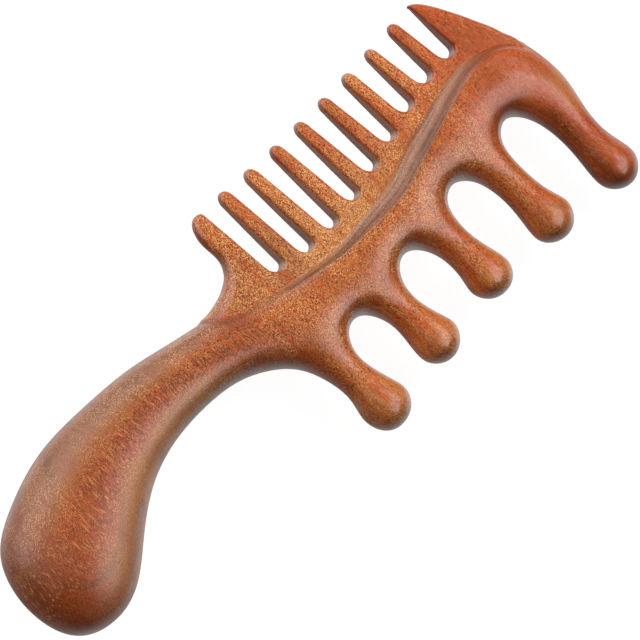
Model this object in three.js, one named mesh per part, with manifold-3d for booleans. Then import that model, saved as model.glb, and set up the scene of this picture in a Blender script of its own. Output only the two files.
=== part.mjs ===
// A wooden wide-tooth comb with a palm-shaped handle and five massage fingers.
//
// Two wooden pieces, glued together:
//   body         handle, spine and the five round-ended fingers
//   tooth_plate  the toothed plate, which butts against the body's carved shoulder and
//                holds to it by a tongue along its back edge, housed in a groove
//
// Frame, in millimetres: X runs along the comb, handle towards -X and head towards +X.
// Y points towards the tooth tips, the fingers point towards -Y. Z is the thickness,
// with the comb's middle plane at Z = 0. The origin is the middle of the whole comb.

import * as THREE from 'three';
import { mergeVertices } from 'three/addons/utils/BufferGeometryUtils.js';
import Module from 'manifold-3d';

// ---------------------------------------------------------------- driving dimensions

const PLATE_T = 9.0;          // tooth plate thickness at the root of the teeth
const TIP_T = 4.0;            // tooth thickness at the tips
const PLATE_EDGE_R = 0.9;     // rounding of the plate's edges
const TONGUE_T = 4.0;         // thickness of the plate's tongue
const TONGUE_DEPTH = 6.0;     // how far the tongue goes into the body
const GLUE_GAP = 0.3;         // glue line between the plate and the body, all round the joint
const WEB_T = 9.0;            // thickness of the finger webs
const WEB_EDGE_R = 3.6;       // rounding of the finger webs
const TIP_LEVEL = 34.0;       // Y at which the upper gap walls are dimensioned
const GAP_R = 2.1;            // radius of the round bottom of a tooth gap
const FLANK_BELLY = 0.05;     // slight convexity of the tooth flanks
const GRAIN_TINT = 0x9a4a1e;

// Tooth gaps, from the handle side: bottom Y, then X of the two walls just above the
// round bottom, then X of the two walls at TIP_LEVEL.
const GAPS = [
  { y: 12.0, l0: 7.00, r0: 11.42, l1: 5.72, r1: 10.78 },
  { y: 10.2, l0: 15.72, r0: 20.20, l1: 14.40, r1: 19.40 },
  { y: 10.2, l0: 24.45, r0: 28.90, l1: 22.95, r1: 28.16 },
  { y: 11.4, l0: 33.12, r0: 37.56, l1: 31.60, r1: 36.80 },
  { y: 13.1, l0: 41.57, r0: 46.00, l1: 40.02, r1: 45.36 },
  { y: 15.2, l0: 50.04, r0: 54.46, l1: 48.50, r1: 53.80 },
  { y: 17.2, l0: 58.42, r0: 62.92, l1: 57.22, r1: 62.35 },
  { y: 19.2, l0: 66.76, r0: 71.28, l1: 65.26, r1: 70.83 },
  { y: 19.6, l0: 75.20, r0: 79.58, l1: 73.87, r1: 79.13 },
];
// Tip heights of the eight teeth between the guard tooth and the hook tooth.
const TIPS = [35.95, 35.40, 34.97, 34.87, 34.87, 35.02, 35.36, 35.75];

// Outer edge of the guard tooth, from the neck of the handle up to its blunt tip.
const GUARD_EDGE = [[-13.0, 16.75], [-10.8, 16.85], [-8.6, 17.25], [-6.5, 17.85], [-4.6, 18.65], [-3.0, 19.65],
  [-1.6, 20.9], [-0.5, 22.2], [0.3, 23.7], [0.65, 25.2], [0.75, 27.2], [0.8, 30.0], [1.05, 31.8], [1.6, 33.3],
  [2.4, 34.7], [3.6, 35.954], [5.1, 35.95]];
// Outer edge of the hook tooth, from its pointed tip down to the head.
const HOOK_EDGE = [[79.15, 35.9], [82.0, 32.5], [83.4, 30.2], [85.0, 27.5], [86.4, 24.9], [87.6, 22.6],
  [88.8, 20.2], [90.0, 17.4], [91.1, 14.6], [92.2, 11.4], [93.2, 8.4]];

// Foot of the shoulder: the line where the plate's flat cheek meets the body.
const FOOT = [[-13.0, 16.75], [-7.0, 13.2], [0.5, 10.8], [8.0, 8.8], [13.5, 7.9], [20.0, 6.7], [27.0, 6.3],
  [35.0, 7.2], [42.0, 8.9], [50.0, 11.3], [62.0, 14.2], [71.0, 15.9], [78.4, 16.3], [84.0, 15.3],
  [89.3, 12.7], [93.2, 8.4]];

// Handle and spine, station by station along X: lower edge, upper edge, line of greatest
// thickness, and half thickness there. Stations with no upper edge end under the plate,
// where the upper edge follows from FOOT.
const SPINE = [
  [-93.9, -11.0, 4.2, -3.4, 5.2], [-91.0, -15.8, 9.6, -3.1, 8.4], [-87.0, -18.9, 13.8, -2.6, 10.6],
  [-81.0, -20.1, 17.0, -1.6, 12.2], [-74.0, -19.2, 19.9, 0.4, 12.8], [-67.0, -15.2, 21.7, 3.3, 12.7],
  [-60.0, -9.7, 22.4, 6.4, 12.0], [-52.0, -4.1, 22.5, 9.2, 10.9], [-44.0, -0.7, 22.1, 10.7, 9.9],
  [-36.0, 0.9, 21.2, 11.0, 9.1], [-28.0, 1.3, 19.7, 10.5, 8.6], [-20.0, 0.7, 17.8, 9.3, 8.3],
  [-13.0, -1.5, null, 7.7, 8.2], [-6.0, -5.2, null, 6.3, 8.3], [1.0, -8.0, null, 5.2, 8.4],
  [8.0, -8.9, null, 4.4, 8.5], [14.0, -9.0, null, 4.0, 8.6], [21.0, -8.7, null, 3.6, 8.7],
  [28.0, -7.7, null, 3.3, 8.8], [35.0, -6.5, null, 3.3, 8.9], [42.0, -5.0, null, 3.9, 9.0],
  [49.0, -3.7, null, 5.2, 9.0], [56.0, -2.7, null, 7.0, 9.0], [63.0, -2.0, null, 9.0, 9.0],
  [70.0, -1.3, null, 10.6, 8.9], [77.0, -0.7, null, 11.4, 8.7], [83.0, -0.5, null, 10.9, 8.3],
  [88.0, 0.2, null, 8.8, 7.6], [91.5, 1.4, null, 6.6, 6.6], [93.6, 2.6, 8.6, 5.4, 5.0],
];
const HANDLE_END = [-95.006, -3.5];
const HEAD_END = [94.9, 4.6];

// Round ends of the five fingers: centre X, centre Y, radius.
const BALLS = [[5.15, -29.7, 6.15], [26.0, -27.3, 5.9], [46.2, -25.2, 5.85], [67.7, -26.0, 5.95], [88.5, -28.2, 5.85]];

// Control points of the smooth edge that runs from the underside of the handle's neck,
// round the five fingers, to the outer edge of the head.
const FINGER_EDGE = [
  [-17.30, 0.43], [-9.92, -3.16], [-4.37, -7.59], [-1.42, -13.87], [0.41, -22.03], [-1.73, -27.70],
  [-1.08, -32.36], [1.73, -35.80], [6.02, -36.27], [9.97, -34.63], [12.18, -30.77], [10.77, -26.19],
  [8.22, -17.82], [9.61, -12.67], [12.19, -9.50], [15.63, -9.14], [18.31, -11.43], [20.82, -16.82],
  [19.84, -24.37], [19.51, -29.74], [22.57, -32.61], [26.53, -33.55], [30.20, -31.70], [32.51, -27.86],
  [30.88, -23.56], [28.70, -16.14], [29.95, -10.42], [32.59, -7.10], [35.87, -6.45], [38.78, -8.57],
  [41.38, -13.86], [41.23, -21.30], [39.70, -26.01], [42.33, -29.86], [46.21, -31.22], [50.19, -30.47],
  [52.80, -27.08], [52.17, -22.72], [49.91, -14.79], [50.60, -7.22], [52.60, -4.04], [55.89, -2.51],
  [59.08, -4.43], [61.64, -8.45], [62.74, -16.88], [61.17, -25.69], [61.73, -29.06], [65.25, -31.89],
  [69.41, -32.00], [72.69, -29.55], [74.25, -25.56], [71.84, -20.69], [71.07, -11.18], [71.65, -4.53],
  [74.29, -1.51], [77.23, -0.52], [80.10, -2.76], [82.60, -8.12], [83.47, -16.84], [82.27, -25.83],
  [82.43, -30.59], [85.75, -33.65], [89.73, -34.25], [93.03, -32.23], [94.94, -28.50], [92.69, -21.78],
  [92.77, -13.26], [95.43, -4.46], [94.71, 3.83], [93.42, 9.98],
];

// ---------------------------------------------------------------- curves

const V2 = (p) => new THREE.Vector2(p[0], p[1]);

// A uniform cubic B-spline in the plane, as a three.js curve.
class BSpline2 extends THREE.Curve {
  constructor(points) {
    super();
    this.points = points;
  }

  getPoint(t, target = new THREE.Vector2()) {
    const spans = this.points.length - 3;
    const i = Math.min(Math.floor(t * spans), spans - 1);
    const u = t * spans - i;
    const w = [(1 - u) ** 3 / 6, (3 * u ** 3 - 6 * u ** 2 + 4) / 6,
      (-3 * u ** 3 + 3 * u ** 2 + 3 * u + 1) / 6, u ** 3 / 6];
    target.set(0, 0);
    w.forEach((k, j) => {
      target.x += k * this.points[i + j][0];
      target.y += k * this.points[i + j][1];
    });
    return target;
  }
}

// Straight-line reading of a table of [x, y] at x.
function readTable(table, x) {
  if (x <= table[0][0]) return table[0][1];
  for (let i = 1; i < table.length; i++) {
    if (x <= table[i][0]) {
      const [a, b] = [table[i - 1], table[i]];
      return a[1] + (b[1] - a[1]) * (x - a[0]) / (b[0] - a[0]);
    }
  }
  return table[table.length - 1][1];
}

const footCurve = new THREE.SplineCurve(FOOT.map(V2));
const footTable = footCurve.getPoints(150).map((p) => [p.x, p.y]);

// ---------------------------------------------------------------- solids

const wasm = await Module();
wasm.setup();

function toSolid(geometry) {
  const bare = geometry.clone();
  for (const name of Object.keys(bare.attributes)) if (name !== 'position') bare.deleteAttribute(name);
  const merged = mergeVertices(bare, 1e-4);
  // the collapsed triangles at the poles of a lathe are left out
  const triangles = [];
  const index = merged.index.array;
  for (let i = 0; i < index.length; i += 3) {
    const [a, b, c] = [index[i], index[i + 1], index[i + 2]];
    if (a !== b && b !== c && c !== a) triangles.push(a, b, c);
  }
  return new wasm.Manifold(new wasm.Mesh({
    numProp: 3,
    vertProperties: new Float32Array(merged.attributes.position.array),
    triVerts: new Uint32Array(triangles),
  }));
}

function toGeometry(solid) {
  const mesh = solid.getMesh();
  const geometry = new THREE.BufferGeometry();
  geometry.setAttribute('position', new THREE.BufferAttribute(new Float32Array(mesh.vertProperties), 3));
  geometry.setIndex(new THREE.BufferAttribute(new Uint32Array(mesh.triVerts), 1));
  geometry.computeVertexNormals();
  return geometry;
}

// A plate of the given outline, centred on the middle plane, with rounded edges that stay
// inside the outline.
function roundedPlate(points, thickness, radius, segments) {
  const geometry = new THREE.ExtrudeGeometry(new THREE.Shape(points), {
    depth: thickness - 2 * radius,
    bevelEnabled: true,
    bevelThickness: radius,
    bevelSize: radius,
    bevelOffset: -radius,
    bevelSegments: segments,
    curveSegments: 8,
  });
  geometry.translate(0, 0, radius - thickness / 2);
  return geometry;
}

// ---------------------------------------------------------------- tooth plate

const gapWall = (gap, side, y) => {
  const [a, b] = side === 'l' ? [gap.l0, gap.l1] : [gap.r0, gap.r1];
  const y0 = gap.y + GAP_R;
  return a + (b - a) * (y - y0) / (TIP_LEVEL - y0);
};

function plateOutline() {
  const out = [];
  // guard tooth, outer edge and blunt tip
  out.push(...GUARD_EDGE.map(V2));
  GAPS.forEach((gap, i) => {
    // down the wall on the handle side
    const yStart = i === 0 ? 34.0 : TIPS[i - 1] - 2.4;
    for (const f of [0, 0.45, 1]) {
      const y = yStart + (gap.y + GAP_R - yStart) * f;
      out.push(new THREE.Vector2(gapWall(gap, 'l', y) + (f === 0.45 ? FLANK_BELLY : 0), y));
    }
    // round bottom
    const xc = (gap.l0 + gap.r0) / 2;
    const rx = (gap.r0 - gap.l0) / 2;
    for (let k = 1; k < 8; k++) {
      const a = Math.PI + Math.PI * k / 8;
      out.push(new THREE.Vector2(xc + rx * Math.cos(a), gap.y + GAP_R + GAP_R * Math.sin(a)));
    }
    // up the wall on the head side
    const last = i === GAPS.length - 1;
    const yEnd = last ? 32.2 : TIPS[i] - 2.4;
    for (const f of [0, 0.55, 1]) {
      const y = gap.y + GAP_R + (yEnd - gap.y - GAP_R) * f;
      out.push(new THREE.Vector2(gapWall(gap, 'r', y) - (f === 0.55 ? FLANK_BELLY : 0), y));
    }
    if (last) return;
    // rounded tip of the next tooth
    const x0 = gapWall(gap, 'r', yEnd);
    const x1 = gapWall(GAPS[i + 1], 'l', yEnd);
    for (let k = 1; k < 6; k++) {
      const a = Math.PI - Math.PI * k / 6;
      out.push(new THREE.Vector2((x0 + x1) / 2 + (x1 - x0) / 2 * Math.cos(a), yEnd + 2.4 * Math.sin(a)));
    }
  });
  // hook tooth
  out.push(...HOOK_EDGE.map(V2));
  // back edge, past the foot of the shoulder, from the head back to the handle
  out.push(...alongFoot(6.0).reverse());
  return out;
}

// A line at the given distance below the foot of the shoulder, running into it at both ends.
function alongFoot(distance, runOut = 0.16, steps = 30) {
  const edge = [];
  for (let k = 1; k < steps; k++) {
    const t = k / steps;
    const p = footCurve.getPoint(t);
    const d = footCurve.getTangent(t);
    const run = Math.min(1, Math.min(t, 1 - t) / runOut);
    edge.push(new THREE.Vector2(p.x + d.y * distance * run, p.y - d.x * distance * run));
  }
  return edge;
}

// The foot line itself, moved down by the given distance along its whole length.
function footLine(distance) {
  return alongFoot(distance, 1e-3, 48);
}

function slab(points, thickness) {
  const geometry = new THREE.ExtrudeGeometry(new THREE.Shape(points), { depth: thickness, bevelEnabled: false });
  geometry.translate(0, 0, -thickness / 2);
  return geometry;
}

const [FOOT_START, FOOT_END] = [V2(FOOT[0]), V2(FOOT[FOOT.length - 1])];

const gapFloor = GAPS.map((g) => [(g.l0 + g.r0) / 2, g.y]);

// The teeth thin evenly from the plate's full thickness at the gap bottoms to the tips.
function thinTeeth(geometry) {
  const position = geometry.attributes.position;
  for (let i = 0; i < position.count; i++) {
    const floor = readTable(gapFloor, position.getX(i)) + 3;
    const f = THREE.MathUtils.clamp((position.getY(i) - floor) / (35.5 - floor), 0, 1);
    position.setZ(i, position.getZ(i) * (1 + (TIP_T / PLATE_T - 1) * f));
  }
}

const plateGeometry = roundedPlate(plateOutline(), PLATE_T, PLATE_EDGE_R, 2);
thinTeeth(plateGeometry);

// Everything on the body's side of the shoulder, at any height.
const belowFoot = slab([new THREE.Vector2(-30, 32), FOOT_START, ...footLine(0), FOOT_END,
  new THREE.Vector2(130, 5), new THREE.Vector2(130, -70), new THREE.Vector2(-30, -70)], 60);
// The tongue, with its root buried in the plate.
const tongue = slab([...alongFoot(TONGUE_DEPTH), ...alongFoot(-2.0, 0.1).reverse()], TONGUE_T);
const plateSolid = toSolid(plateGeometry).subtract(toSolid(belowFoot)).add(toSolid(tongue));

// ---------------------------------------------------------------- body

// Handle and spine: a lathe-topology tube whose rings are set, one by one, to the stations.
function spineGeometry() {
  const rings = SPINE.length + 2;
  const profile = [];
  for (let j = 0; j < rings; j++) profile.push(new THREE.Vector2(j === 0 || j === rings - 1 ? 0 : 1, j));
  const sides = 26;
  const geometry = new THREE.LatheGeometry(profile, sides);
  const position = geometry.attributes.position;
  const lip = PLATE_T / 2 + GLUE_GAP;
  for (let i = 0; i < position.count; i++) {
    const j = Math.round(position.getY(i));
    if (j === 0) { position.setXYZ(i, ...HANDLE_END, 0); continue; }
    if (j === rings - 1) { position.setXYZ(i, ...HEAD_END, 0); continue; }
    const [x, low, high, mid, half] = SPINE[j - 1];
    const c = position.getX(i);
    const s = position.getZ(i);
    let up = (high ?? 0) - mid;
    if (high === null) {
      // wide enough for the lip to reach the foot of the shoulder
      const reach = readTable(footTable, x) - mid;
      const grow = 1 / Math.sqrt(1 - (lip / half) ** 2) - 1;
      up = reach * (1 + grow * THREE.MathUtils.clamp((x + 13) / 12, 0, 1));
    }
    position.setXYZ(i, x, mid + c * (c > 0 ? up : mid - low), -s * half);
  }
  return geometry;
}

function webOutline() {
  const edge = new BSpline2(FINGER_EDGE);
  const out = edge.getPoints(174);
  // closed through the inside of the spine
  for (const p of [[85, 12.5], [76, 12.8], [64, 10.5], [52, 7.4], [40, 5.1], [28, 4.2], [16, 4.8], [4, 6.4], [-5, 8.2], [-13, 6]]) out.push(V2(p));
  return out;
}

// Everything on the plate's side of the shoulder, at any height, less the glue line.
const aboveFoot = slab([new THREE.Vector2(-13.4, 16.6), ...footLine(GLUE_GAP), new THREE.Vector2(93.1, 8.0),
  new THREE.Vector2(130, 7.9), new THREE.Vector2(130, 70), new THREE.Vector2(-13.4, 70)], 60);
// The groove for the tongue.
const groove = slab([...alongFoot(TONGUE_DEPTH + GLUE_GAP, 0.14), ...alongFoot(-2.3, 0.05).reverse()], TONGUE_T + 2 * GLUE_GAP);

let bodySolid = toSolid(spineGeometry()).add(toSolid(roundedPlate(webOutline(), WEB_T, WEB_EDGE_R, 3)));
for (const [x, y, r] of BALLS) {
  const ball = new THREE.SphereGeometry(r, 18, 10);
  ball.rotateX(Math.PI / 2);
  ball.translate(x, y, 0);
  bodySolid = bodySolid.add(toSolid(ball));
}
bodySolid = bodySolid.subtract(toSolid(aboveFoot)).subtract(toSolid(groove));

// ---------------------------------------------------------------- assembly

function piece(name, solid, material) {
  const mesh = new THREE.Mesh(toGeometry(solid), material);
  mesh.name = name;
  return mesh;
}

const comb = new THREE.Group();
comb.name = 'comb';
comb.add(piece('body', bodySolid, new THREE.MeshStandardMaterial({ color: GRAIN_TINT, roughness: 0.35, metalness: 0 })));
comb.add(piece('tooth_plate', plateSolid, new THREE.MeshStandardMaterial({ color: GRAIN_TINT, roughness: 0.4, metalness: 0 })));

export default comb;
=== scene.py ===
"""A polished wooden wide-tooth comb: palm-shaped handle, ten teeth, five massage fingers.

The surface is worked out in millimetres as one continuous carved form, then parted along the
shoulder line into the two pieces that the comb is made of, and brought to metres at the end.
"""

import math

import bpy
import numpy as np
from mathutils import Matrix, Vector


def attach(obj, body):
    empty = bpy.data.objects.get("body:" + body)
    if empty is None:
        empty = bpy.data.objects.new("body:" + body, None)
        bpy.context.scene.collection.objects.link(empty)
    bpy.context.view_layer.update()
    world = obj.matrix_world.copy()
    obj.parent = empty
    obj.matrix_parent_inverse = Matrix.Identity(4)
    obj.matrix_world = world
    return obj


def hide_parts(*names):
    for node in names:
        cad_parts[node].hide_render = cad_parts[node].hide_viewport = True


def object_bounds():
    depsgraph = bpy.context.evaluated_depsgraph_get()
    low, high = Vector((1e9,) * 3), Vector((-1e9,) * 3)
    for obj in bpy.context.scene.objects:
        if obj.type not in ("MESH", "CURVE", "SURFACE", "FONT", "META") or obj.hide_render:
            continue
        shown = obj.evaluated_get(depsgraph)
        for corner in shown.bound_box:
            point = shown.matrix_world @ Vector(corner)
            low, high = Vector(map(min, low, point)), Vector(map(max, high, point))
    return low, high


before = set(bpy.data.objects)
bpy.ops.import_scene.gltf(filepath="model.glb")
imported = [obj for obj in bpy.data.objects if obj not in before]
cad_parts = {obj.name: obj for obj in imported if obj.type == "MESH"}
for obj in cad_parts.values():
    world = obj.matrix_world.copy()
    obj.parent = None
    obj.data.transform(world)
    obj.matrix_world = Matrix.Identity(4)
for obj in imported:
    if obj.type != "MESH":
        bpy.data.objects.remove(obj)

CAD_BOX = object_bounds()
CELL = 0.50  # size of the surface mesh's cells
MM = 0.001

# ------------------------------------------------------------------ outlines, in millimetres

# Control points of the outer edge, from the guard tooth round the handle and the fingers to
# the back of the hook tooth.
EDGE = [
    (0.23, 28.02), (0.60, 25.95), (0.32, 22.48), (-2.36, 19.01), (-9.08, 16.90), (-16.99, 17.26),
    (-25.64, 19.16), (-33.74, 21.19), (-43.25, 22.13), (-51.83, 22.49), (-61.20, 22.64),
    (-69.18, 21.36), (-77.10, 18.76), (-85.84, 14.95), (-90.87, 10.68), (-93.79, 4.17),
    (-94.84, -3.61), (-93.64, -11.44), (-90.52, -16.80), (-85.60, -19.72), (-78.41, -20.59),
    (-71.44, -18.47), (-65.47, -14.04), (-59.97, -9.33), (-52.21, -3.78), (-43.93, -0.31),
    (-35.25, 1.21), (-26.25, 1.40), (-17.27, 0.38), (-9.88, -3.08), (-4.23, -7.67), (-1.24, -13.73),
    (0.59, -22.47), (-1.60, -27.77), (-0.91, -32.43), (1.87, -35.80), (5.92, -36.25), (9.95, -34.64),
    (12.18, -30.43), (10.77, -26.32), (8.25, -17.87), (9.39, -12.64), (12.15, -9.42), (15.58, -9.10),
    (18.53, -11.38), (20.99, -17.26), (20.00, -24.46), (19.55, -29.52), (22.71, -32.73),
    (26.36, -33.53), (30.19, -31.74), (32.51, -27.39), (30.83, -23.67), (28.70, -16.16),
    (29.74, -10.34), (32.53, -7.00), (35.77, -6.38), (38.99, -8.64), (41.47, -13.90), (41.50, -21.14),
    (39.75, -25.69), (42.51, -30.01), (46.14, -31.23), (50.13, -30.53), (52.82, -26.84),
    (52.22, -22.89), (49.92, -15.07), (50.44, -7.11), (52.39, -4.03), (55.83, -2.48), (59.26, -4.47),
    (61.78, -8.32), (62.91, -17.05), (61.32, -25.88), (61.86, -29.09), (65.14, -31.86),
    (69.55, -32.05), (72.61, -29.60), (74.32, -25.42), (71.77, -20.79), (71.08, -11.09),
    (71.54, -4.54), (74.24, -1.41), (77.18, -0.45), (80.25, -2.77), (82.86, -7.95), (83.69, -17.04),
    (82.49, -26.05), (82.60, -30.48), (85.86, -33.74), (89.76, -34.31), (92.92, -32.33),
    (95.10, -28.30), (92.65, -21.53), (92.86, -13.29), (95.45, -4.36), (94.80, 3.72), (93.43, 10.41),
    (91.98, 15.02), (90.57, 17.56),
]  # fmt: skip
# The round body's own edge where the tooth plate hides it, from the head back to the neck.
BURIED_EDGE = [
    (92.7, 12.2), (90.6, 15.6), (87.6, 18.7), (83.5, 20.9), (78.0, 22.2), (70.0, 22.0), (62.0, 20.5),
    (54.0, 18.2), (46.0, 15.4), (39.0, 13.0), (33.0, 11.3), (27.0, 10.3), (20.0, 9.5), (13.0, 9.8),
    (6.5, 10.9), (0.0, 12.4), (-6.0, 14.3), (-11.5, 16.1),
]  # fmt: skip
# Foot of the shoulder, where the plate's cheek meets the body, and how far the crest of the
# shoulder stands behind it.
FOOT = [
    (-13.0, 16.75), (-7.0, 13.2), (0.5, 10.8), (8.0, 8.8), (13.5, 7.9), (20.0, 6.7), (27.0, 6.3),
    (35.0, 7.2), (42.0, 8.9), (50.0, 11.3), (62.0, 14.2), (71.0, 15.9), (78.4, 16.3), (84.0, 15.3),
    (89.3, 12.7), (93.2, 8.4),
]  # fmt: skip
COVE = [
    (-13, 1.6), (0, 1.6), (10, 1.8), (18, 2.05), (25, 2.25), (33, 3.05), (38, 4.1), (47, 5.5),
    (55, 5.1), (62, 4.6), (69, 3.8), (77, 2.4), (82, 1.5), (88, 1.2), (94, 1.0),
]  # fmt: skip
# Half thickness of the handle and spine along X.
HALF = [
    (-96, 12.4), (-86, 12.5), (-74, 12.6), (-64, 12.1), (-54, 11.0), (-44, 9.8), (-32, 8.8),
    (-20, 8.3), (-8, 8.2), (14, 8.6), (42, 9.0), (63, 9.0), (77, 8.7), (84, 8.2), (96, 7.4),
]  # fmt: skip
# Line between the spine and the fingers.
ARCHES = [(-20, -2), (0, -8), (14, -9), (35, -6.4), (56, -2.6), (77, -0.8), (96, -0.8)]
BALLS = [(5.15, -29.7), (26.0, -27.3), (46.2, -25.2), (67.7, -26.0), (88.5, -28.2)]

# Tooth gaps: bottom, X of the walls above the round bottom, X of the walls at TIP_LEVEL.
GAPS = [
    (12.19, 7.01, 11.40, 5.76, 10.78), (10.37, 15.83, 20.20, 14.40, 19.26),
    (10.24, 24.58, 28.79, 22.92, 28.13), (11.46, 33.28, 37.44, 31.59, 36.71),
    (13.29, 41.65, 46.02, 40.02, 45.32), (15.38, 50.09, 54.42, 48.53, 53.77),
    (17.51, 58.31, 63.00, 57.24, 62.38), (19.29, 66.66, 71.44, 65.35, 70.85),
    (19.72, 75.13, 79.65, 74.00, 79.16),
]  # fmt: skip
TIPS = [35.98, 35.40, 35.02, 34.91, 34.92, 35.08, 35.37, 35.83]
TIP_LEVEL = 34.0
GUARD = [
    (-13.15, 17.03), (-10.90, 16.99), (-8.53, 17.35), (-6.48, 17.84), (-4.46, 18.59), (-2.68, 19.59),
    (-1.23, 20.64), (-0.27, 21.89), (0.49, 23.51), (0.69, 24.97), (0.53, 27.13), (0.28, 30.08),
    (0.54, 31.98), (1.08, 33.75), (1.69, 34.86), (3.13, 36.03), (4.45, 36.16),
]  # fmt: skip
HOOK = [
    (78.82, 36.05), (79.42, 35.95), (80.17, 35.54), (81.11, 34.78), (82.45, 33.07), (83.81, 30.82),
    (85.37, 27.83), (86.72, 25.12), (87.81, 22.70), (88.93, 20.27), (90.21, 17.41), (91.21, 14.52),
    (92.55, 11.45), (92.75, 8.81),
]  # fmt: skip
PLATE_BACK = [
    (88.5, 6.0), (80.0, 9.0), (70.0, 9.5), (55.0, 6.5), (40.0, 3.0), (25.0, 1.0), (10.0, 3.0),
    (-4.0, 8.0), (-14.0, 12.0), (-18.0, 15.6), (-15.5, 16.6),
]  # fmt: skip
PLATE_HALF = 4.5
TIP_HALF = 2.0
TIP_LONG = 1.5
BOTTOM_LEAN, BOTTOM_LEFT, BOTTOM_RIGHT = 0.30, 1.0, -0.6


class Line:
    """A natural cubic through (x, y) points, straight beyond both ends."""

    def __init__(self, points):
        self.x, self.y = np.array(points, float).T
        n, h = len(self.x), np.diff(self.x)
        a, b = np.eye(n), np.zeros(n)
        for i in range(1, n - 1):
            a[i, i - 1 : i + 2] = h[i - 1], 2 * (h[i - 1] + h[i]), h[i]
            b[i] = 6 * ((self.y[i + 1] - self.y[i]) / h[i] - (self.y[i] - self.y[i - 1]) / h[i - 1])
        self.m = np.linalg.solve(a, b)

    def __call__(self, x):
        """Value and slope."""
        x = np.asarray(x, float)
        c = np.clip(x, self.x[0], self.x[-1])
        i = np.clip(np.searchsorted(self.x, c) - 1, 0, len(self.x) - 2)
        h = self.x[i + 1] - self.x[i]
        a, b = (self.x[i + 1] - c) / h, (c - self.x[i]) / h
        y = a * self.y[i] + b * self.y[i + 1]
        y = y + ((a**3 - a) * self.m[i] + (b**3 - b) * self.m[i + 1]) * h * h / 6
        d = (self.y[i + 1] - self.y[i]) / h
        d = d + (-(3 * a * a - 1) * self.m[i] + (3 * b * b - 1) * self.m[i + 1]) * h / 6
        return y + d * (x - c), d


def closed_spline(control, per_span=12):
    p, n = np.array(control, float), len(control)
    t = np.linspace(0, 1, per_span, endpoint=False)
    w = np.stack([(1 - t) ** 3, 3 * t**3 - 6 * t**2 + 4, -3 * t**3 + 3 * t**2 + 3 * t + 1, t**3], 1) / 6
    return np.einsum("tk,ikd->itd", w, p[(np.arange(n)[:, None] + np.arange(4)) % n]).reshape(-1, 2)


def through(points, step):
    """Points along a smooth curve that goes through these ones."""
    p = np.array(points, float)
    s = np.concatenate([[0], np.cumsum(np.linalg.norm(np.diff(p, axis=0), axis=1))])
    at = np.linspace(0, s[-1], max(3, int(s[-1] / step)))
    return np.stack([Line(np.stack([s, p[:, k]], 1))(at)[0] for k in (0, 1)], 1)


def smoothstep(a, b, x):
    t = np.clip((x - a) / (b - a), 0, 1)
    return t * t * (3 - 2 * t)


def plate_outline():
    """The tooth plate's edge, counted from its buried back edge over the guard tooth to the hook."""
    rows = [through(GUARD, 0.4), [(5.35, 35.83), (5.58, 35.55)]]
    walls = []
    for y, l0, r0, l1, r1 in GAPS:
        radius = (r0 - l0) / 2
        walls.append((y + radius, l0, r0, l1, r1, radius))
    for i, (yb, l0, r0, l1, r1, radius) in enumerate(walls):
        left = (l0, (l1 - l0) / (TIP_LEVEL - yb), yb)
        right = (r0, (r1 - r0) / (TIP_LEVEL - yb), yb)
        top = 35.3 if i == 0 else tip_centre
        if i == 0:
            ys = np.linspace(35.2, yb + BOTTOM_LEFT, 30)
        else:
            ys = np.linspace(top, yb + BOTTOM_LEFT, 30)[1:]
        rows.append(np.stack([left[0] + left[1] * (ys - yb), ys], 1))
        # The round bottom leans towards the hook: a long curve on its left, a short one on its right.
        a, deep = np.linspace(math.pi, 2 * math.pi, 32)[1:-1], (l0 + r0) / 2 + BOTTOM_LEAN
        x = np.where(np.cos(a) < 0, deep - l0, r0 - deep) * np.cos(a) + deep
        long = np.where(np.cos(a) < 0, BOTTOM_LEFT, BOTTOM_RIGHT)
        rows.append(np.stack([x, yb + long + (radius + long) * np.sin(a)], 1))
        if i == len(walls) - 1:
            ys = np.linspace(yb + BOTTOM_RIGHT, 34.9, 30)
            rows.append(np.stack([right[0] + right[1] * (ys - yb), ys], 1))
            break
        nb, nl0, _, nl1, _, _ = walls[i + 1]
        tip_centre = TIPS[i] - 2.9
        for _ in range(3):
            xr = r0 + right[1] * (tip_centre - yb)
            xl = nl0 + (nl1 - nl0) / (TIP_LEVEL - nb) * (tip_centre - nb)
            tip_centre = TIPS[i] - TIP_LONG * (xl - xr) / 2
        ys = np.linspace(yb + BOTTOM_RIGHT, tip_centre, 30)[:-1]
        rows.append(np.stack([r0 + right[1] * (ys - yb), ys], 1))
        a = np.linspace(math.pi, 0, 24)
        hw = (xl - xr) / 2
        rows.append(np.stack([(xl + xr) / 2 + hw * np.cos(a), tip_centre + TIP_LONG * hw * np.sin(a)], 1))
    rows += [through(HOOK, 0.4), PLATE_BACK]
    return np.concatenate([np.array(r, float) for r in rows])


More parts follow.
